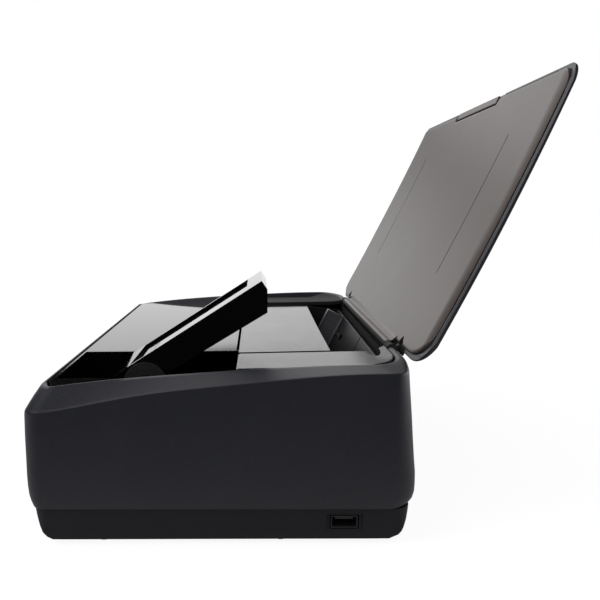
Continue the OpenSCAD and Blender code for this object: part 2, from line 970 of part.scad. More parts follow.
module separation_arm() {
  color([0.12, 0.12, 0.13])
    union() {
      chute()
        yz(-19, 19)
          polygon([[-3.07, -34.2], [-3.07, -46], [-9, -53.6], [-12.6, -54], [-14.2, -49.5],
            [-6.1, -40], [-6.1, -34.2]]);
      bar(-19, 19, 55.5, 47, 3);
      bar(-22.8, 22.8, 55.5, 47, 1.5);
    }
}

module separation_pad() {
  color([0.3, 0.18, 0.12])
    chute()
      box([-15, -3.07, -44.5], [15, -1.47, -34.6]);
}

module power_button() {
  color([0.18, 0.18, 0.19])
    translate([150, 0, 45])
      rotate([90, 0, 0])
        difference() {
          union() {
            translate([0, 0, 93])
              cylinder(h = 6.2, r = 6);
            translate([0, 0, 93])
              cylinder(h = 1.6, r = 7.4);
          }
          translate([0, 0, 98.6])
            difference() {
              cylinder(h = 2, r = 2.6);
              cylinder(h = 2, r = 2);
            }
        }
}

base_pan();
main_case();
front_deck();
ledge_right();
ledge_left();
access_door();
feed_well();
paper_guide();
hinge_bar();
hinge_pins();
tray_cover();
tray_liner();
tray_extension();
panel_shell();
panel_caps();
display_glass();
display_module();
panel_back();
panel_arm();
usb_host_port();
usb_device_port();
power_inlet();
rubber_feet();
base_screws();
main_board();
side_plate_right();
side_plate_left();
lower_guide();
upper_guide();
sensor_bar();
sensor_glass();
white_platen();
drive_motor();
motor_bracket();
motor_pinion();
idler_gear_a();
idler_gear_b();
idler_gear_c();
pick_idler();
gear_pins();
feed_shaft();
feed_rollers();
feed_gear();
exit_shaft();
exit_rollers();
exit_gear();
pick_shaft();
pick_rollers();
pick_gear();
feed_pinch();
exit_pinch();
separation_arm();
separation_pad();
power_button();
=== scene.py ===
# %% [markdown]
# # Dressing a sheet fed document scanner
# The solids of the machine come from the packed model and stay where they are. This lesson
# gives them looks: smooth moulded skins where the solids are faceted, softened edges where a
# mould leaves a small radius, and a procedural finish for every surface. The scene is in metres,
# and the shapes are worked out in millimetres; X runs across the machine, the front faces -Y and
# Z is up.

# %% Load the frame
import json
import math

import bmesh
import bpy
import numpy as np
from mathutils import Matrix, Vector


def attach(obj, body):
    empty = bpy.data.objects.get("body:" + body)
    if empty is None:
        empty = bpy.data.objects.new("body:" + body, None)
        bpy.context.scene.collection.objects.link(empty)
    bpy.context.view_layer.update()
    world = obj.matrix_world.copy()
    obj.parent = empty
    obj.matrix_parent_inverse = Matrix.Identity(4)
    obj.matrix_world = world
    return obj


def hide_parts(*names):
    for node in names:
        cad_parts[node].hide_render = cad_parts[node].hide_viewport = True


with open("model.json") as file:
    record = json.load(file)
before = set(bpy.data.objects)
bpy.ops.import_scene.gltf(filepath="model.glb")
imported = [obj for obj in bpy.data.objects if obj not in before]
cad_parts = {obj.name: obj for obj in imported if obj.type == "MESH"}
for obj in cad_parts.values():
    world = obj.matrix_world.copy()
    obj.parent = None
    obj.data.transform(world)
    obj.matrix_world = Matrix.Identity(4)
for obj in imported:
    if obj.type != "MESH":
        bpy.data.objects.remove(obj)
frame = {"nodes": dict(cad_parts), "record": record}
nodes, record = frame["nodes"], frame["record"]
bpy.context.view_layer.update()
body_of_node = {n: b for b, members in record["behaviour"]["bodies"].items() for n in members}
slot_of_node = {s["node"]: s["material_slot"] for s in record["subparts"]}
MM = 0.001

# %% [markdown]
# ## The camera
# The picture was taken from the right-hand side, a little above the rim. The camera's place and
# turn were worked out from the case's straight edges, so the lens axis runs through the middle
# of the picture and no shift is needed.

# %% Camera
# The sensor is in millimetres, the picture and the focal length are in pixels, the eye is in
# metres and the turns are in radians.
SENSOR = 36
PICTURE = 600
FOCAL = 792.76
EYE = [0.57293, 0.01508, 0.17037]
YAW, PITCH, ROLL = 0.05711, 0.11334, 0.02073


def camera_axes(yaw, pitch, roll):
    """Right, up and back axes of a camera that looks along -X, turned by yaw, tipped by pitch and rolled."""
    ahead = np.array([-math.cos(pitch) * math.cos(yaw), math.cos(pitch) * math.sin(yaw), -math.sin(pitch)])
    level = np.cross(ahead, [0, 0, 1])
    level /= np.linalg.norm(level)
    rise = np.cross(level, ahead)
    right = math.cos(roll) * level + math.sin(roll) * rise
    up = -math.sin(roll) * level + math.cos(roll) * rise
    return np.column_stack([right, up, -ahead])


camera = bpy.data.objects.new("camera", bpy.data.cameras.new("camera"))
bpy.context.scene.collection.objects.link(camera)
camera.data.sensor_width = SENSOR
camera.data.lens = FOCAL * SENSOR / PICTURE
camera.data.clip_start, camera.data.clip_end = 0.01, 50
pose = np.eye(4)
pose[:3, :3] = camera_axes(YAW, PITCH, ROLL)
pose[:3, 3] = EYE
camera.matrix_world = Matrix(pose.tolist())
bpy.context.scene.camera = camera
bpy.context.scene.view_settings.view_transform = "Standard"
print("lens", round(camera.data.lens, 2), "mm")

# %% [markdown]
# ## Writing shaders as sums
# A finish is a little formula: a grain times a depth, a colour mixed by a cloud. One small class
# wraps a socket, so that the formula can be written with plain operators, and one method adds
# any other node.

# %% A socket that can be added and multiplied
class Wire:
    """An output socket; arithmetic on it adds Math nodes, and node() adds any other node."""

    def __init__(self, tree, socket=None):
        self.tree, self.socket = tree, socket

    def node(self, kind, settings=None, inputs=None, out=0):
        """Adds a node: first its settings, such as a ramp's stops, then the values or links of its inputs."""
        made = self.tree.nodes.new(kind)
        for key, value in (settings or {}).items():
            if key == "stops":
                ramp = made.color_ramp
                for at, _ in value[:-2]:
                    ramp.elements.new(at)
                for element, (at, shade) in zip(ramp.elements, value):
                    element.position, element.color = at, shade
            else:
                setattr(made, key, value)
        for key, value in (inputs or {}).items():
            if isinstance(value, Wire):
                self.tree.links.new(value.socket, made.inputs[key])
            else:
                made.inputs[key].default_value = value
        return Wire(self.tree, made.outputs[out] if len(made.outputs) else None)

    def math(self, operation, a, b=0.0):
        """One Math node on two values."""
        return self.node("ShaderNodeMath", {"operation": operation}, {0: a, 1: b})

    def __add__(self, other):
        return self.math("ADD", self, other)

    def __mul__(self, other):
        return self.math("MULTIPLY", self, other)

    def __sub__(self, other):
        return self.math("SUBTRACT", self, other)

    def __rsub__(self, other):
        return self.math("SUBTRACT", other, self)

    __radd__, __rmul__ = __add__, __mul__

    def step(self, low, high):
        """0 below low, 1 above high, smooth between."""
        return self.node("ShaderNodeMapRange", {"interpolation_type": "SMOOTHSTEP"},
                         {"Value": self, "From Min": low, "From Max": high})

    def noise(self, place, scale, detail=2.0, rough=0.5):
        """A cloud between 0 and 1, with scale lumps to the metre."""
        return self.node("ShaderNodeTexNoise", None,
                         {"Vector": place, "Scale": scale, "Detail": detail, "Roughness": rough})

    def blend(self, amount, first, second):
        """A colour between first and second."""
        return self.node("ShaderNodeMix", {"data_type": "RGBA"}, {0: amount, 6: first, 7: second}, 2)


print("shader helpers:", [name for name in vars(Wire) if not name.startswith("_")])

# %% [markdown]
# ## The room
# Dark satin plastic shows little colour of its own: what the eye sees is the room in it. Seen
# almost along the surface, the tray, the door and the gloss deck mirror a white wall that stands
# behind the machine and ends about ten degrees above it. A dark gap follows, then a broad lamp
# that fades towards the ceiling, and the side of the room behind the camera is dark. So the world
# is that room for reflections, an even grey for soft light, and white where the camera looks
# past the machine.

# %% World
# Each stop is the sine of a height and the brightness there.
WALL = [(0.0, 1.0), (0.169, 1.0)]
GAP = [(0.175, 0.0), (0.222, 0.0)]
LAMP = [(0.242, 1.0), (0.50, 1.0), (0.56, 1.6), (0.70, 1.7), (0.77, 1.2)]
CEILING = [(0.83, 0.6), (0.89, 0.36), (0.93, 0.18), (0.96, 0.03), (1.0, 0.0)]
SOFT_LIGHT = 0.62


def grey(value):
    """An opaque grey colour."""
    return (value, value, value, 1)


def make_world():
    """White to the camera. To reflections, by the sine of the height: a white wall up to 10 degrees, a dark
    gap up to 14, a lamp brightest near 40 and a ceiling that fades from 50. The wall's top rises towards -Y.
    The room is dark behind the camera and far towards -Y, and its lamp ends towards +Y."""
    world = bpy.data.worlds.new("studio")
    world.use_nodes = True
    tree = world.node_tree
    tree.nodes.clear()
    w = Wire(tree)
    way = w.node("ShaderNodeTexCoord", None, None, "Generated")
    x, y, z = (w.node("ShaderNodeSeparateXYZ", None, {0: way}, k) for k in range(3))
    high = z + y * 0.0565
    stops = [(at, grey(bright)) for at, bright in WALL + GAP + LAMP + CEILING]
    room = w.node("ShaderNodeValToRGB", {"stops": stops}, {0: high})
    ahead = 1 - x.step(-0.35, 0.25)
    lamp_end = y.step(0.07, 0.21) * high.step(0.18, 0.30)
    lit = 1.1 - lamp_end * 1.08
    shine = room * ahead * lit * y.step(-0.72, -0.42) + 0.004
    see = w.node("ShaderNodeLightPath", None, None, "Is Camera Ray")
    gloss = w.node("ShaderNodeLightPath", None, None, "Is Glossy Ray")
    clear = w.node("ShaderNodeLightPath", None, None, "Is Transmission Ray")
    plain = w.math("MAXIMUM", see, clear)
    light = SOFT_LIGHT * (1 - gloss) + shine * gloss
    strength = light * (1 - plain) + plain
    back = w.node("ShaderNodeBackground", None, {"Color": grey(1), "Strength": strength})
    w.node("ShaderNodeOutputWorld", None, {"Surface": back})
    bpy.context.scene.world = world


make_world()
print("world with", len(WALL + GAP + LAMP + CEILING), "stops")

# %% [markdown]
# One soft lamp above the front gives the dull surfaces a light and a dark side. It is hidden from
# reflections, because the room already holds the lamp that they mirror.

# %% Lamp
def make_lamp(name, place, aim, size, power):
    """A square soft lamp at place, turned towards aim."""
    lamp = bpy.data.objects.new(name, bpy.data.lights.new(name, "AREA"))
    lamp.data.size, lamp.data.energy = size, power
    bpy.context.scene.collection.objects.link(lamp)
    lamp.location = place
    away = Vector(aim) - lamp.location
    lamp.rotation_euler = away.to_track_quat("-Z", "Y").to_euler()
    lamp.visible_glossy = False
    print(name, "at", place, "with", power, "W")


make_lamp("soft_key", (0.5, -1.1, 1.5), (0, 0, 0.08), 1.2, 14)

# %% [markdown]
# The machine stands on a white sheet. To the camera the sheet is almost all glow, so that it is as
# white as the page, and a fifth of it is a real surface that takes the machine's shadow. In
# reflections it is darker towards the camera, where the room is dark too.

# %% Floor
FLOOR = 6


def make_floor():
    """A pale sheet under the machine: white to the camera, with the machine's shadow left in it."""
    mesh = bpy.data.meshes.new("floor")
    corners = [(-FLOOR, -FLOOR, 0), (FLOOR, -FLOOR, 0), (FLOOR, FLOOR, 0), (-FLOOR, FLOOR, 0)]
    mesh.from_pydata(corners, [], [(0, 1, 2, 3)])
    floor = bpy.data.objects.new("floor", mesh)
    bpy.context.scene.collection.objects.link(floor)
    paint = bpy.data.materials.new("floor_sheet")
    paint.use_nodes = True
    tree = paint.node_tree
    tree.nodes.clear()
    w = Wire(tree)
    see = w.node("ShaderNodeLightPath", None, None, "Is Camera Ray")
    gloss = w.node("ShaderNodeLightPath", None, None, "Is Glossy Ray")
    place = w.node("ShaderNodeTexCoord", None, None, "Object")
    x = w.node("ShaderNodeSeparateXYZ", None, {0: place}, 0)
    mirrored = (1 - x.step(-0.30, -0.15)) * 0.7 + (1 - x.step(0.16, 0.50)) * 0.3 + 0.01
    sheet = w.node("ShaderNodeBsdfDiffuse", None, {"Color": grey(0.75)})
    glow = w.node("ShaderNodeEmission", None, {"Color": grey(1.0), "Strength": see * 1.15 + gloss * mirrored})
    both = w.node("ShaderNodeMixShader", None, {0: see * 0.8 + gloss, 1: sheet, 2: glow})
    w.node("ShaderNodeOutputMaterial", None, {"Surface": both})
    mesh.materials.append(paint)


make_floor()
print("floor", 2 * FLOOR, "m square")

# %% [markdown]
# ## Moulded finishes
# The covers are injection moulded in a spark-eroded tool, which leaves a fine even grain about
# half a millimetre across, and handling polishes it in soft clouds. The deck and the panel come
# from a polished tool and are wiped to a mirror, with faint wipe marks. One formula with a few
# numbers can be any of them, so each finish is a row of numbers.

# %% A finish
finishes = {}


def finish(name, colour, rough, grain=0.0006, depth=0.25, cloud=0.06, specular=0.5, metal=0.0,
           speck=0.25, streak=None):
    """A finish: colour times a cloud and a speckle, roughness with a cloud, and a bump of grain size.
    streak stretches the grain along one axis, as on brushed or turned metal."""
    paint = bpy.data.materials.new(name)
    paint.use_nodes = True
    tree = paint.node_tree
    tree.nodes.clear()
    w = Wire(tree)
    place = w.node("ShaderNodeTexCoord", None, None, "Object")
    if streak:
        place = w.node("ShaderNodeMapping", None, {"Vector": place, "Scale": streak})
    fine = w.noise(place, 1 / grain, 2.0)
    soft = w.noise(place, 22.0, 3.0, 0.6)
    dots = w.noise(place, 0.55 / grain, 1.0).step(0.52, 0.75)
    dark = tuple(c * (1 - speck) for c in colour) + (1,)
    pale = tuple(min(1, c * (1 + speck)) for c in colour) + (1,)
    shade = w.blend(soft * 0.6 + dots * 0.4, dark, pale)
    bump = w.node("ShaderNodeBump", None, {"Strength": depth, "Distance": grain * 0.4, "Height": fine})
    skin = w.node("ShaderNodeBsdfPrincipled", None, {
        "Base Color": shade, "Metallic": metal, "Roughness": rough + (soft - 0.5) * cloud,
        "Specular IOR Level": specular, "Normal": bump})
    w.node("ShaderNodeOutputMaterial", None, {"Surface": skin})
    finishes[name] = paint


print("finish formula ready")

# %% [markdown]
# The outside is all one charcoal, yet no two mouldings look alike: the door and the ledges are
# smooth enough to mirror the wall, the liner is a warmer grey whose paleness is partly painted
# reflection of the wall, and the hinge strip and the barrel are matt.

# %% Finishes of the covers
finish("case", (0.0210, 0.0216, 0.0290), 0.38)
finish("base", (0.0110, 0.0114, 0.0160), 0.45, specular=0.33)
finish("satin", (0.020, 0.0205, 0.0225), 0.09, grain=0.0004, depth=0.05)
# liner: partly its own warm grey, partly painted reflection: the colour is paler than the case plastic to
# stand in for the wall it mirrors
finish("liner", (0.084, 0.0670, 0.0610), 0.34, grain=0.0005, depth=0.15)
finish("ledge", (0.020, 0.0205, 0.0225), 0.22, grain=0.0004, depth=0.05)
# guide: the grey trim made much paler, painted light on the paper guide's face, which lies in shade inside
# the well
finish("guide", (0.105, 0.106, 0.118), 0.3, grain=0.0005, depth=0.1)
# shade: near black, the painted shade of the tabs behind the liner's slits
finish("shade", (0.006, 0.006, 0.0062), 0.6, grain=0.0005, depth=0.3, specular=0.1)
# barrel: the strip finish in a paler grey, painted light on the tray's neck and barrel
finish("barrel", (0.036, 0.0357, 0.0352), 0.6, grain=0.0005, depth=0.4, specular=0.15)
finish("strip", (0.020, 0.0198, 0.0195), 0.6, grain=0.0005, depth=0.4, specular=0.15)
finish("inner", (0.014, 0.0145, 0.016), 0.42)
finish("grey_trim", (0.022, 0.0225, 0.0245), 0.4)
finish("gloss", (0.0022, 0.0022, 0.0026), 0.035, grain=0.0012, depth=0.015, cloud=0.02)
finish("display", (0.003, 0.0032, 0.004), 0.03, grain=0.002, depth=0.01, cloud=0.01)
print("finishes of the covers:", len(finishes))

# %% [markdown]
# Inside stand rubber, steel, brass, a circuit board and white or clear plastic. Metal is drawn or
# turned, so its grain is stretched along one axis. Every packed piece then gets the finish that
# its material slot names.

# %% Finishes of the inside
finish("lcd", (0.03, 0.034, 0.04), 0.5)
finish("rubber", (0.012, 0.012, 0.012), 0.75, grain=0.0009, depth=0.5, specular=0.3)
finish("shield", (0.060, 0.060, 0.063), 0.42, grain=0.0005, depth=0.2, metal=0.7, speck=0.05)
finish("steel", (0.52, 0.52, 0.53), 0.32, grain=0.0005, depth=0.2, metal=1.0, speck=0.08, streak=(1, 0.12, 1))
finish("gear", (0.68, 0.68, 0.62), 0.45, depth=0.1, speck=0.05)
finish("brass", (0.62, 0.46, 0.18), 0.3, depth=0.15, metal=1.0, speck=0.08, streak=(0.15, 1, 1))
finish("board", (0.012, 0.09, 0.035), 0.4, grain=0.001, speck=0.3)
finish("clear", (0.55, 0.62, 0.64), 0.04, depth=0.01, cloud=0.01, speck=0.03)
finish("white", (0.74, 0.74, 0.71), 0.6, depth=0.15, speck=0.03)
finish("motor", (0.24, 0.24, 0.25), 0.35, metal=0.6, streak=(1, 0.2, 0.2))
for node, piece in nodes.items():
    piece.data.materials.clear()
    piece.data.materials.append(finishes[slot_of_node[node]])
print("finishes:", sorted(finishes))

# %% [markdown]
# ## Solid grids
# A grid of points that closes both ways is a ring of quads, as round a doughnut. A stack of rings
# is a tube, and a fan of triangles shuts each of its ends. Two sheets over the same grid, joined
# round their borders, are a slab. All three end up as one closed mesh.

# %% Rings, tubes and slabs
def solid_mesh(name, spots, quads, fans=np.empty((0, 3), int)):
    """A closed mesh of quads and triangles; if its signed volume is negative the faces are turned round."""
    corners = np.concatenate([quads[:, [0, 1, 2]], quads[:, [0, 2, 3]], fans])
    a, b, c = (spots[corners[:, k]] for k in range(3))
    volume = np.einsum("ij,ij->", a, np.cross(b, c))
    way = -1 if volume < 0 else 1
    faces = quads[:, ::way].tolist() + fans[:, ::way].tolist()
    mesh = bpy.data.meshes.new(name)
    mesh.from_pydata(spots.tolist(), [], faces)
    mesh.validate()
    print(name, "volume", round(abs(volume) / 6 * 1e6, 1), "cm3,", len(faces), "faces")
    return mesh


def ring_mesh(name, points):
    """A grid of points that closes in both directions."""
    rows, cols = points.shape[:2]
    index = np.arange(rows * cols).reshape(rows, cols)
    right, down = np.roll(index, -1, 1), np.roll(index, -1, 0)
    quads = np.stack([index, right, np.roll(down, -1, 1), down], 2).reshape(-1, 4)
    return solid_mesh(name, points.reshape(-1, 3), quads)


def capped_mesh(name, rings, tips):
    """A stack of rings of points, each end closed by a fan of triangles from its tip."""
    count, around = rings.shape[:2]
    here = np.arange(count * around).reshape(count, around)
    after = np.roll(here, -1, 1)
    walls = np.stack([here[:-1], after[:-1], after[1:], here[1:]], 2).reshape(-1, 4)
    tip = np.full(around, count * around)
    first = np.stack([after[0], here[0], tip], 1)
    last = np.stack([here[-1], after[-1], tip + 1], 1)
    spots = np.concatenate([rings.reshape(-1, 3), tips])
    return solid_mesh(name, spots, walls, np.concatenate([first, last]))


def slab_mesh(name, under, over):
    """Two sheets of the same grid joined round their four borders into a closed shell."""
    rows, cols = under.shape[:2]
    low = np.arange(rows * cols).reshape(rows, cols)
    top = low + rows * cols

    def sheet(grid):
        return np.stack([grid[:-1, :-1], grid[1:, :-1], grid[1:, 1:], grid[:-1, 1:]], 2).reshape(-1, 4)

    def wall(foot, head):
        return np.stack([foot[:-1], foot[1:], head[1:], head[:-1]], 1)

    quads = np.concatenate([
        sheet(low)[:, ::-1], sheet(top), wall(low[:, 0], top[:, 0]), wall(top[:, -1], low[:, -1]),
        wall(top[0], low[0]), wall(low[-1], top[-1])])
    return solid_mesh(name, np.concatenate([under.reshape(-1, 3), over.reshape(-1, 3)]), quads)


print("solid grids ready")

# %% [markdown]
# Openings could be left out of a grid, but their edges would then have to follow its rows. Blocks
# and round bars serve as knives instead: what they cover is cut away by an exact Boolean.

# %% Knives
def block(low, high):
    """A box mesh between two corners, in millimetres."""
    corner = np.array([[x, y, z] for x in (0, 1) for y in (0, 1) for z in (0, 1)])
    spots = (np.array(low) + corner * (np.array(high) - np.array(low))) * MM
    sides = [[0, 1, 3, 2], [4, 6, 7, 5], [0, 4, 5, 1], [2, 3, 7, 6], [0, 2, 6, 4], [1, 5, 7, 3]]
    return solid_mesh("block", spots, np.array(sides))


def drum(x, z, radius, y0, y1, sides=48):
    """A round bar along Y, in millimetres."""
    a = np.linspace(0, 2 * np.pi, sides, endpoint=False)
    across, up = x + radius * np.cos(a), z + radius * np.sin(a)
    rings = np.stack([np.column_stack([across, np.full(sides, y), up]) for y in (y0, y1)])
    return capped_mesh("drum", rings * MM, np.array([(x, y0, z), (x, y1, z)]) * MM)


def cut(mesh, tools):
    """The mesh with the solid tools taken away."""
    piece = bpy.data.objects.new("whole", mesh)
    bpy.context.scene.collection.objects.link(piece)
    knives = []
    for tool in tools:
        knife = bpy.data.objects.new("knife", tool)
        bpy.context.scene.collection.objects.link(knife)
        knives.append(knife)
        stroke = piece.modifiers.new("cut", "BOOLEAN")
        stroke.object, stroke.solver = knife, "EXACT"
    bpy.context.view_layer.update()
    result = bpy.data.meshes.new_from_object(piece.evaluated_get(bpy.context.evaluated_depsgraph_get()))
    for used in [piece, *knives]:
        bpy.data.objects.remove(used)
    return result


print("knives ready")

# %% [markdown]
# ## Softened solids
# Many covers only need what a mould tool gives them: a small radius on every edge. The packed
# mesh is a soup of loose triangles, so a copy is stitched together, its flat faces are joined,
# and a live bevel rounds the edges that turn by more than thirty degrees.

# %% Small radii
def place_piece(mesh, name, node, angle=30, paint=None):
    """Puts a mesh in the place of a packed node, on that node's body and in its finish, or in paint."""
    mesh.shade_smooth()
    mesh.set_sharp_from_angle(angle=math.radians(angle))
    piece = bpy.data.objects.new(name, mesh)
    bpy.context.scene.collection.objects.link(piece)
    mesh.materials.clear()
    mesh.materials.append(finishes[paint or slot_of_node[node]])
    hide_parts(node)
    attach(piece, body_of_node[node])
    return piece


def softened(node, radius, paint=None, warp=None, slices=(), sunk=None, gaps=()):
    """A stitched copy of a packed node with its flat faces joined and its edges rounded by a radius in
    millimetres. slices are planes across X that give warp, a rule that moves the points, something to bend.
    sunk is the border and depth of a field pressed into the largest face that looks along +X. gaps are
    blocks cut away."""
    work = bmesh.new()
    work.from_mesh(nodes[node].data)
    bmesh.ops.remove_doubles(work, verts=work.verts, dist=2e-6)
    if gaps:
        whole = bpy.data.meshes.new("whole")
        work.to_mesh(whole)
        work.clear()
        work.from_mesh(cut(whole, gaps))
    bmesh.ops.dissolve_limit(work, angle_limit=math.radians(0.4), verts=work.verts, edges=work.edges)
    if sunk:
        flank = max((f for f in work.faces if f.normal.x > 0.9), key=lambda f: f.calc_area())
        bmesh.ops.inset_region(work, faces=[flank], thickness=sunk[0] * MM, depth=-sunk[1] * MM)
    for x in slices:
        everything = work.verts[:] + work.edges[:] + work.faces[:]
        bmesh.ops.bisect_plane(work, geom=everything, plane_co=(x * MM, 0, 0), plane_no=(1, 0, 0))
    mesh = bpy.data.meshes.new(node + "_skin")
    work.to_mesh(mesh)
    work.free()
    if warp:
        spots = np.empty(len(mesh.vertices) * 3)
        mesh.vertices.foreach_get("co", spots)
        mesh.vertices.foreach_set("co", warp(spots.reshape(-1, 3) / MM).ravel() * MM)
    piece = place_piece(mesh, node + "_skin", node, 30, paint)
    rounding = piece.modifiers.new("mould_radius", "BEVEL")
    rounding.width, rounding.segments = radius * MM, 3
    rounding.limit_method, rounding.angle_limit = "ANGLE", math.radians(30)
    rounding.harden_normals = True


print("mould radius ready")

# %% [markdown]
# Large flat mouldings are seldom quite flat. The door sags a little in its middle, the deck rises
# towards the door, and the foot draws in at the front. Each of these is a rule that moves the
# points of a copy, so that the packed solid itself stays plain.

# %% Rules that move points
DECK_SLOPE = 0.0167


def shifted(p, axis, amount):
    """Points moved along one axis, each by its own amount."""
    moved = p.copy()
    moved[:, axis] += amount
    return moved


def hollowed(p):
    """The door's middle lies 0.7 mm lower than its ends, along a parabola."""
    return shifted(p, 2, -0.7 * (1 - (p[:, 0] / 112.2) ** 2))


def tilted(p):
    """The deck's top rises by 1.6 mm from its front to the door, except at the door's lugs."""
    top = (np.abs(p[:, 2] - 80) < 0.6) & (p[:, 1] < 8.1)
    top &= (p[:, 1] < 6.5) | (np.abs(p[:, 0]) > 112.5)
    return shifted(p, 2, top * DECK_SLOPE * (p[:, 1] + 90))


def lowered(p):
    """The chute's top edge is drawn 3.4 mm down its slope, below the hinge."""
    amount = 3.4 * np.clip((p[:, 2] - 74) / 12, 0, 1) * (p[:, 1] > 80)
    return p - amount[:, None] * np.array([0, 0.446, 0.895])


def drawn_back(p):
    """The foot's front draws back by 1.3 mm towards the floor."""
    front = np.clip((-60 - p[:, 1]) / 30, 0, 1)
    foot = np.clip((20 - p[:, 2]) / 14, 0, 1)
    return shifted(p, 1, 1.3 * front * foot)


print("deck rises by", round(DECK_SLOPE * 96.5, 2), "mm")

# %% [markdown]
# The panel and the small pieces are rounded as they are. In front of the door the deck ends in a
# narrow gap, cut round the door's two lugs, and the paper guide's face has a pressed field.

# %% Softened pieces
for node, radius in [("panel_shell", 0.9), ("panel_caps", 0.4), ("panel_back", 0.4), ("panel_arm", 0.3),
                     ("power_button", 0.4), ("display_glass", 0.15)]:
    softened(node, radius)
softened("usb_host_port", 0.15, "shield")
door_gap = [block((-112, 3.9, 76), (79.5, 5.8, 83)), block((-113, 5.7, 79), (113, 6.6, 83)),
            block((-97.3, 5.7, 79), (97.3, 8.3, 83)), block((-113, 5.7, 79), (-101.9, 8.3, 83)),
            block((101.9, 5.7, 79), (113, 8.3, 83))]
softened("front_deck", 0.35, warp=tilted, gaps=door_gap)
softened("feed_well", 0.4, warp=lowered)
softened("base_pan", 0.6, warp=drawn_back)
softened("access_door", 0.5, warp=hollowed, slices=np.arange(-110, 111, 5))
softened("hinge_bar", 0.5, "strip")
softened("tray_extension", 0.35, "liner")
softened("paper_guide", 0.8, "guide", sunk=(2.4, 0.9))
print("softened pieces ready")

# %% [markdown]
# ## The case
# The case is one moulding that rises from a narrow foot, stands upright, turns in over a shoulder
# and ends in a rim round the opening. The shoulder is steep at the front and nearly flat at the
# rear. A sweep fits this best: a profile is carried round a rounded rectangle, and the front, side
# and rear each have their own profile, mixed by the way the wall faces.

# %% A rounded rectangle
# Half the width, the front and the rear of the case and of its opening.
CASE = (190, -99.1, 101)
OPENING = (174.5, -91.5, 91.5)


def rounded_loop(half, front, rear, fore, aft, along=60, round_=18, across=70):
    """Points of a rectangle whose corners are quarter ellipses, fore at the front and aft at the rear, each
    given by its reach in X and Y; anticlockwise from the front right corner, and the outward ways there."""
    turn = np.linspace(-90, 0, round_)
    corners = [(half, front, fore), (half, rear, aft), (-half, rear, aft), (-half, front, fore)]
    spots, ways = [], []
    for k, (side, edge, reach) in enumerate(corners):
        a = np.radians(turn + 90 * k)
        way = np.column_stack([np.cos(a), np.sin(a)])
        middle = np.array([side, edge]) - np.sign([side, edge]) * np.array(reach)
        spots.append(middle + np.array(reach) * way)
        ways.append(way)
    loop, face = [], []
    for k in range(4):
        steps = along if k % 2 == 0 else across
        t = np.linspace(0, 1, steps + 2)[1:-1, None]
        start, end = spots[k][-1], spots[(k + 1) % 4][0]
        loop += [spots[k], start + (end - start) * t]
        face += [ways[k], np.repeat(ways[k][-1:], steps, 0)]
    return np.concatenate(loop), np.concatenate(face)


print("points round the case:", len(rounded_loop(*CASE, (10, 10), (16, 16))[0]))

# %% [markdown]
# Seen from the side, two lines give the case its look: the crease where the shoulder starts, and
# the crest of the rim. Both rise from front to rear, and a smooth curve is laid through a few
# heights along each.

# %% Profiles of the case
crease = np.poly1d(np.polyfit([-99, -90, -79.7, -67.4, -53.9, -36.6, -24.3, -5.7, 37.8, 81.9, 101],
                              [69.4, 69.6, 70.9, 73.2, 76.2, 79.1, 80.8, 82.9, 87.5, 90.2, 90.7], 6))
crest = np.poly1d(np.polyfit([-93, -86.6, -66.8, -49.5, -37, -12, 13, 38.4, 58.7, 79.2, 92],
                             [79.8, 80.8, 83, 84.7, 86, 87.7, 89.5, 90.9, 91.9, 92.7, 92.8], 4))
arch = np.linspace(0, 1, 9)


def smooth(t):
    """0 below 0, 1 above 1, and between them a curve that starts and ends level."""
    t = np.clip(t, 0, 1)
    return t * t * (3 - 2 * t)


def case_section(y):
    """Inset share and height of the front, side and rear profiles, foot to rim and back inside, at depth y.
    A row is an inset and a height; a share is an inset over the way from the case's loop to the opening's.
    Beside the deck the rim's inside is bevelled."""
    flat = np.zeros_like(y)
    zc, zt = crease(y), crest(y)
    bevel = smooth((6 - y) / 30)

    def shares(rows, reach):
        inset = np.array([row[0] + flat for row in rows])
        height = np.array([row[1] + flat for row in rows])
        return inset / reach, height

    fore = [(2.9, 20), (2.2, 22.6), (1.6, 25.8), (1.2, 30.5), (0.95, 36), (0.8, 44),
            (0.5, 56), (0.4, 66.4), (0.45, 68), (0.65, 69.1)]
    fore += [(0.95 + 5.0 * a, 69.7 + 9.7 * (1.15 * a - 0.15 * a * a)) for a in arch]
    fore += [(6.4, 79.8), (6.85, 80.05), (7.2, 80.05), (7.5, 79.8), (7.6, 79.4),
             (7.6, 72.5), (5.2, 66), (3.4, 60), (3.9, 44), (4.8, 28), (6.6, 20)]
    side = [(2.4, 20), (1.5, 22.6), (0.8, 25.8), (0.3, 30.5), (0.08, 36), (0, 44),
            (0, 0.5 * (44 + zc)), (0, zc - 0.5), (0.06, zc - 0.2), (0.2, zc)]
    side += [(0.4 + 11.0 * a, zc + 0.1 + (zt - zc - 0.15) * a) for a in arch]
    side += [(12.0, zt - 0.04), (12.5, zt - 0.3), (13.2 + bevel, zt - 1.0 - 0.5 * bevel),
             (14.2 + 3.8 * bevel, zt - 2.2 - 1.95 * bevel), (15.5 + 6.5 * bevel, zt - 4.0 - 2.95 * bevel),
             (15.5 + 6.5 * bevel, 72.5), (6, 66), (3.2, 60), (3, 44), (3.4, 28), (5.2, 20)]
    rear = [(2.4, 20), (1.3, 22.6), (0.8, 25.8), (0.7, 30.5), (0.8, 36), (1.4, 44),
            (2.2, 66), (3.2, 85), (3.3, 87), (3.5, 88.4)]
    rear += [(3.7 + 3.0 * (1 - math.cos(a)), 89 + 3.5 * math.sin(a)) for a in arch * math.pi / 2]
    rear += [(6.9, 92.5), (7.6, 92.4), (8.3, 92.1), (8.9, 91.4), (9.5, 90),
             (9.5, 72.5), (9.2, 66), (7.5, 60), (4.2, 44), (3.6, 28), (6, 20)]
    return shares(fore, 7.6), shares(side, 15.5), shares(rear, 9.5)


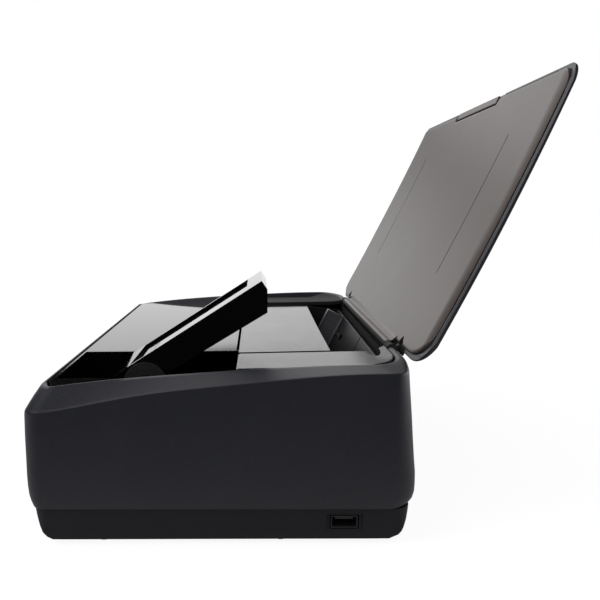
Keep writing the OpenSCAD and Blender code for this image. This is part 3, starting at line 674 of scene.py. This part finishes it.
print("crest from", round(crest(-93), 1), "to", round(crest(92), 1), "mm")

# %% [markdown]
# The swept grid closes both ways, so it is a ring. The paper exit, the button's hole and the gap
# for the tray's hinge are then cut out of it with knives, which are thrown away.

# %% Build and cut the case
def case_surface():
    """Each point lies between the outer loop and the opening's loop, by the inset share, at the mixed height.
    The outer loop's rear corners widen towards the rim."""
    low, way = rounded_loop(*CASE, (10, 10), (16, 16))
    high, _ = rounded_loop(*CASE, (10, 10), (34, 17))
    inner, _ = rounded_loop(*OPENING, (10, 10), (31, 18))
    share = [np.maximum(-way[:, 1], 0) ** 2, way[:, 0] ** 2, np.maximum(way[:, 1], 0) ** 2]
    profiles = case_section(low[:, 1])
    inset = sum(s[None, :] * p[0] for s, p in zip(share, profiles))
    height = sum(s[None, :] * p[1] for s, p in zip(share, profiles))
    upper = np.clip((height - 50) / 36, 0, 1)[:, :, None]
    outer = low + (high - low) * upper
    flat = outer + (inner - outer) * inset[:, :, None]
    return np.concatenate([flat, height[:, :, None]], 2) * MM


hinge_gap = [block((-124.5, 80, 82), (124.5, 97.3, 120)), block((-124.5, 97, 88.4), (124.5, 110, 120))]
paper_exit = block((-114, -110, 27), (114, -80, 41))
button_hole = drum(150, 45, 6.4, -110, -80)
case_mesh = cut(ring_mesh("case_skin", case_surface()), [*hinge_gap, paper_exit, button_hole])
place_piece(case_mesh, "main_case_skin", "main_case", 35)
print("case skin", len(case_mesh.polygons), "faces")

# %% [markdown]
# ## The ledges
# Beside the door, a ledge runs along each side of the opening and, at the rear, scoops up to the
# rim round a wide corner. The right one rises a little to the outside and has a half-round finger
# notch in its inner edge. The left one stands higher and falls to the outside. Each is a height
# over a grid whose columns run from the inner edge to the outer one, so the grid itself takes the
# shape of the notch and of the corner.

# %% Ledges
INNER, FRONT, REAR = 116.6, 6, 91.2
CORNER_X, CORNER_Y = 143.2, 73.2
REACH_X, REACH_Y = 31, 18


def roll(depth, width, border):
    """Drop of a rolled edge: a quarter ellipse of that depth and width, measured from the border inwards."""
    return depth * (1 - np.sqrt(1 - (1 - np.clip(border / width, 0, 1)) ** 2))


def eased(count):
    """Numbers from 0 to 1 that lie closer together at both ends: half of one minus the cosine."""
    return 0.5 - 0.5 * np.cos(np.pi * np.linspace(0, 1, count))


def ledge_mesh(name, side, edge, rise, notch):
    """A plane from the height edge at its inner front corner, climbing 0.032 to the rear and rise to the
    outside. Near the rear corner, a quarter ellipse, it blends into the rim's height by the square of the
    nearness, and its edges drop by a small roll. notch is the depth of a half ellipse 7.6 mm wide."""
    y = np.unique(np.concatenate([np.linspace(FRONT, REAR, 90), REAR - np.geomspace(0.05, 3, 14),
                                  np.linspace(80, 88, 73)]))
    left = INNER + notch * np.sqrt(np.maximum(1 - ((y - 84) / 3.8) ** 2, 0))
    past = np.maximum(y - CORNER_Y, 0) / REACH_Y
    right = CORNER_X + REACH_X * np.sqrt(np.maximum(1 - past ** 2, 0.0001))
    u = eased(70)
    x = left[:, None] + (right - left)[:, None] * u
    y = np.repeat(y[:, None], len(u), 1)
    plane = edge + 0.032 * (y - FRONT) + rise * (x - INNER)
    inside = 1 - np.hypot(np.maximum(x - CORNER_X, 0) / REACH_X, np.maximum(y - CORNER_Y, 0) / REACH_Y)
    near = np.clip(1 - inside / 0.6, 0, 1) ** 2
    z = plane + (crest(y) - 0.35 - plane) * near * smooth((y - 64) / 18)
    inward = np.minimum(x - left[:, None], y - FRONT)
    z = z - roll(0.5, 0.7, np.minimum(inward, np.maximum(REACH_Y * inside, 0)))
    top = np.stack([side * x, y, z], 2) * MM
    under = np.stack([side * x, y, z - 2.4], 2) * MM
    return slab_mesh(name, under, top)


ledges = [("ledge_right", 1, 86.47, 0.045, 22, "ledge"), ("ledge_left", -1, 88.5, -0.035, 0, "strip")]
for node, side, edge, rise, notch, paint in ledges:
    place_piece(ledge_mesh(node + "_skin", side, edge, rise, notch), node + "_skin", node, 50, paint)

# %% [markdown]
# ## The tray
# The tray is a shallow shell that closes over the machine as its lid: a liner that the paper
# leans on and an outer cover with a soft, pillowed edge. Both are worked out flat, as the lid
# lies when it is shut: each is two sheets over the same plan, an under side that follows the
# lid's long curve and a top side that falls away near the border. Then they are swung open.

# %% Plan and swing of the tray
HINGE_Y, HINGE_Z, SWING = 94.5, 91.5, math.radians(-119.6)
lid_curve = np.poly1d(np.polyfit([-92, -66.8, -49.5, -30, -12, 13, 38, 59, 79, 99],
                                 [80.9, 83.6, 85.4, 87.1, 88.4, 90, 91.5, 92.6, 93.3, 93.7], 4))


def swung(points):
    """Points of the shut lid, in millimetres, turned about the hinge line into the open place, in metres."""
    y, z = points[..., 1] - HINGE_Y, points[..., 2] - HINGE_Z
    c, s = math.cos(SWING), math.sin(SWING)
    return np.stack([points[..., 0], HINGE_Y + c * y - s * z, HINGE_Z + s * y + c * z], -1) * MM


def drawn_in(y):
    """How far the lid's sides draw in at depth y: 4 mm at the front, by a power of the way from y = 30."""
    return 4 * np.clip((30 - y) / 110.7, 0, 1) ** 1.3


def lid_plan(half, front, rear, corner, notch=None, extra=(), rows=90):
    """Plan grid of a rounded plate: X is spaced closer at the ends, Y runs from the front edge to the rear
    edge. The front corners are quarter circles, the rear ones quarter ellipses, 30 mm wide and 18 mm deep.
    The sides draw in towards the front. Also the distance to the border."""
    x = half * np.sin(np.linspace(-np.pi / 2, np.pi / 2, 161))
    x = np.unique(np.concatenate([x, np.asarray(extra, float)]))
    over = np.clip(np.abs(x) - (half - corner), 0, corner)
    turn = corner - np.sqrt(np.maximum(corner ** 2 - over ** 2, 0))
    y0 = front + turn + (0 if notch is None else notch(x))
    lobe = np.clip((np.abs(x) - (half - 30)) / 30, 0, 1)
    y1 = rear - 18 * (1 - np.sqrt(1 - lobe ** 2))
    y = y0[:, None] + (y1 - y0)[:, None] * eased(rows)
    x = np.repeat(x[:, None], rows, 1)
    border = np.minimum(np.minimum(half - np.abs(x), y - y0[:, None]), y1[:, None] - y)
    x = x - np.sign(x) * drawn_in(y) * np.clip((np.abs(x) - 125) / (half - 125), 0, 1)
    return x, y, np.maximum(border, 0)


print("lid curve from", round(lid_curve(-92), 1), "to", round(lid_curve(99), 1), "mm")

# %% [markdown]
# The liner has a finger notch at its free edge, where the pull-out support is gripped, and two
# fine slots beside the paper's edges. At the hinge, two tapering slits part its wings from the
# neck, and a knife takes away the strip between them.

# %% Liner
LINER_HALF = 177.6


def finger_notch(x):
    """4.8 mm deep up to 53 mm either side of the middle, easing out at 57 mm."""
    return 4.8 * smooth((57 - np.abs(x)) / 4)


def prism(outline, z0=85, z1=105):
    """An outline in X and Y as a solid between two heights of the shut lid, swung open."""
    flat = np.array(outline, float)
    rings = np.stack([np.column_stack([flat, np.full(len(flat), z)]) for z in (z0, z1)])
    return capped_mesh("prism", swung(rings), swung(rings.mean(1)))


slots = [-101, 119]
slot_x = np.concatenate([[s - 0.6, s - 0.4, s + 0.4, s + 0.6] for s in slots])
notch_x = np.concatenate([np.linspace(52.8, 57.2, 9), -np.linspace(52.8, 57.2, 9)])
x, y, border = lid_plan(LINER_HALF, -78.1, 89.8, 11.4, finger_notch, np.concatenate([slot_x, notch_x]))
sunk = sum((np.abs(x - s) < 0.45) for s in slots) * ((y > -45) & (y < 44))
cove = 0.026 * np.clip(8 - (LINER_HALF - drawn_in(y) - np.abs(x)), 0, 8) ** 2
face_z = lid_curve(y) + np.clip(np.maximum(cove, roll(1.3, 2.5, border)), 0, 1.65) + 0.6 * sunk
liner_mesh = slab_mesh("tray_liner_skin", swung(np.stack([x, y, face_z], 2)),
                       swung(np.stack([x, y, lid_curve(y) + 2.0], 2)))
slit = np.array([(118, 92), (137, 92), (131, 88), (127, 85.4), (124.6, 84.2), (122, 86.6)])
hinge_strip = [(-127, 89.8), (127, 89.8), (127, 95), (-127, 95)]
liner_mesh = cut(liner_mesh, [prism(slit * [-1, 1]), prism(slit), prism(hinge_strip)])
print("liner", len(liner_mesh.polygons), "faces")

# %% [markdown]
# The cover's top is pillowed: it rises from a rolled edge over a shell and a low crown. Its under
# side carries a groove beside the liner and a thin lip along the border, left out at the finger
# notch.

# %% Cover
COVER_HALF = 183.8
x, y, border = lid_plan(COVER_HALF, -80.7, 92.2, 14, None, (), 150)
thin = 1.2 * np.clip((20 - y) / 112, 0, 1) ** 2
shell = 1.6 - roll(1.5, 2.4, border) - thin * np.clip(border / 2, 0, 1)
crown = 2.0 * (1 - (1 - np.clip((border - 6) / 16, 0, 1)) ** 2) + thin * np.clip((border - 6) / 10, 0, 1)
flank = COVER_HALF - drawn_in(y) - np.abs(x)
trough = 1.2 * ((flank > 4) & (flank < 7) & (y < 60) & (y > -64))
wide = np.where(np.abs(x) > 150, 3.8, 1.6)
beside_notch = (np.abs(x) > 57.6) | (y > -70)
lip = 0.55 * np.clip((wide - np.minimum(border, flank)) / 0.3, 0, 1)
lip = lip * beside_notch * np.clip((89 - y) / 3, 0, 1)
lip = lip - 0.2 * np.clip(3.8 - flank, 0, 3.8) - roll(0.3, 0.5, border)
cover_mesh = slab_mesh("tray_cover_skin", swung(np.stack([x, y, lid_curve(y) + 2.05 - lip + trough], 2)),
                       swung(np.stack([x, y, lid_curve(y) + 2.62 + shell + crown], 2)))
place_piece(cover_mesh, "tray_cover_skin", "tray_cover", 40)

# %% [markdown]
# Along the hinge the tray's pieces keep one outline over a long way, so an outline is pushed along
# X. The end faces are fans from a point that sees the whole outline, because an outline that bends
# in could not be closed from just any point.

# %% Outlines pushed along the hinge
EASE = 0.3


def push(outline, x0, x1, centre):
    """Rings of an outline in Y and Z carried along X from x0 to x1, drawn in towards the centre at both ends
    to soften the edges, and the tips of the ends."""
    shrink = 1 - EASE / np.linalg.norm(outline - centre, axis=1).max()
    stops = [(x0, shrink), (x0 + EASE, 1), (x1 - EASE, 1), (x1, shrink)]
    rings = [np.column_stack([np.full(len(outline), x), centre + (outline - centre) * k]) for x, k in stops]
    return np.stack(rings), np.array([(x, *centre) for x in (x0, x1)])


def joined(name, meshes):
    """Several meshes as one, each still a closed shell."""
    work = bmesh.new()
    for mesh in meshes:
        work.from_mesh(mesh)
    mesh = bpy.data.meshes.new(name)
    work.to_mesh(mesh)
    work.free()
    return mesh


def bars(name, outline, spans, centre):
    """An outline of the shut lid pushed along each span of X, swung open."""
    solids = [push(np.array(outline), x0, x1, np.array(centre)) for x0, x1 in spans]
    return joined(name, [capped_mesh(name, swung(rings), swung(tips)) for rings, tips in solids])


print("end edges softened by", EASE, "mm")

# %% [markdown]
# The lid's neck is a plate that runs down into a round barrel on the hinge line, left out where
# the two lugs of the case stand.

# %% Neck and barrel
turn = np.radians(np.linspace(30, -212, 40))
barrel = np.column_stack([HINGE_Y + 2.7 * np.cos(turn), HINGE_Z + 2.7 * np.sin(turn)])
plate = [[92.0, 93.5], [90.1, 94.3], [90.0, 95.7], [82, 95.6], [82, 97.4], [88, 96.9], [94.6, 95.1]]
between_lugs = [(-123, -117.6), (-110.4, 110.4), (117.6, 123)]
neck_mesh = bars("tray_neck_skin", np.concatenate([barrel, plate]), between_lugs, (91.6, 95.85))
place_piece(neck_mesh, "tray_neck_skin", "tray_cover", 40, "barrel")

# %% [markdown]
# Behind the two slits of the liner stands a tab, so that no light comes through them. Its
# near-black finish is painted shade, which makes the slits look deep.

# %% Tabs behind the slits
tab = [(83.5, 95.15), (92.3, 95.3), (94.2, 95.8), (94.2, 96.9), (92.0, 96.6), (83.5, 95.7)]
tab_mesh = bars("tray_tab_skin", tab, [(-134.5, -117.8), (117.8, 134.5)], (91.5, 95.9))
place_piece(tab_mesh, "tray_tab_skin", "tray_cover", 40, "shade")

# %% [markdown]
# The liner's lower edge curls over the barrel. With the tray open, that curl is the bright line
# along the hinge. Its outline is given in the open place: down from the liner, round the barrel at
# a small distance, and back. It is one piece with the liner.

# %% The liner's curl
turn = np.radians(np.linspace(70, 134, 12))
ways = np.column_stack([np.cos(turn), np.sin(turn)])
axle = np.array([HINGE_Y, HINGE_Z])
curl = np.concatenate([[[99.95, 97.1], [98.9, 95.6], [97.6, 94.75], [96.4, 94.4]], axle + 2.95 * ways,
                       axle + 2.5 * ways[::-1], [[96.5, 93.8], [98.0, 94.2], [99.7, 95.6]]])
curl_rings, curl_tips = push(curl, -110.2, 110.2, np.array([96.4, 94.1]))
curl_mesh = capped_mesh("curl", curl_rings * MM, curl_tips * MM)
place_piece(joined("tray_liner_skin", [liner_mesh, curl_mesh]), "tray_liner_skin", "tray_liner", 40)

# %% [markdown]
# ## Sizes
# The dressed machine must stay inside the box of its solids.
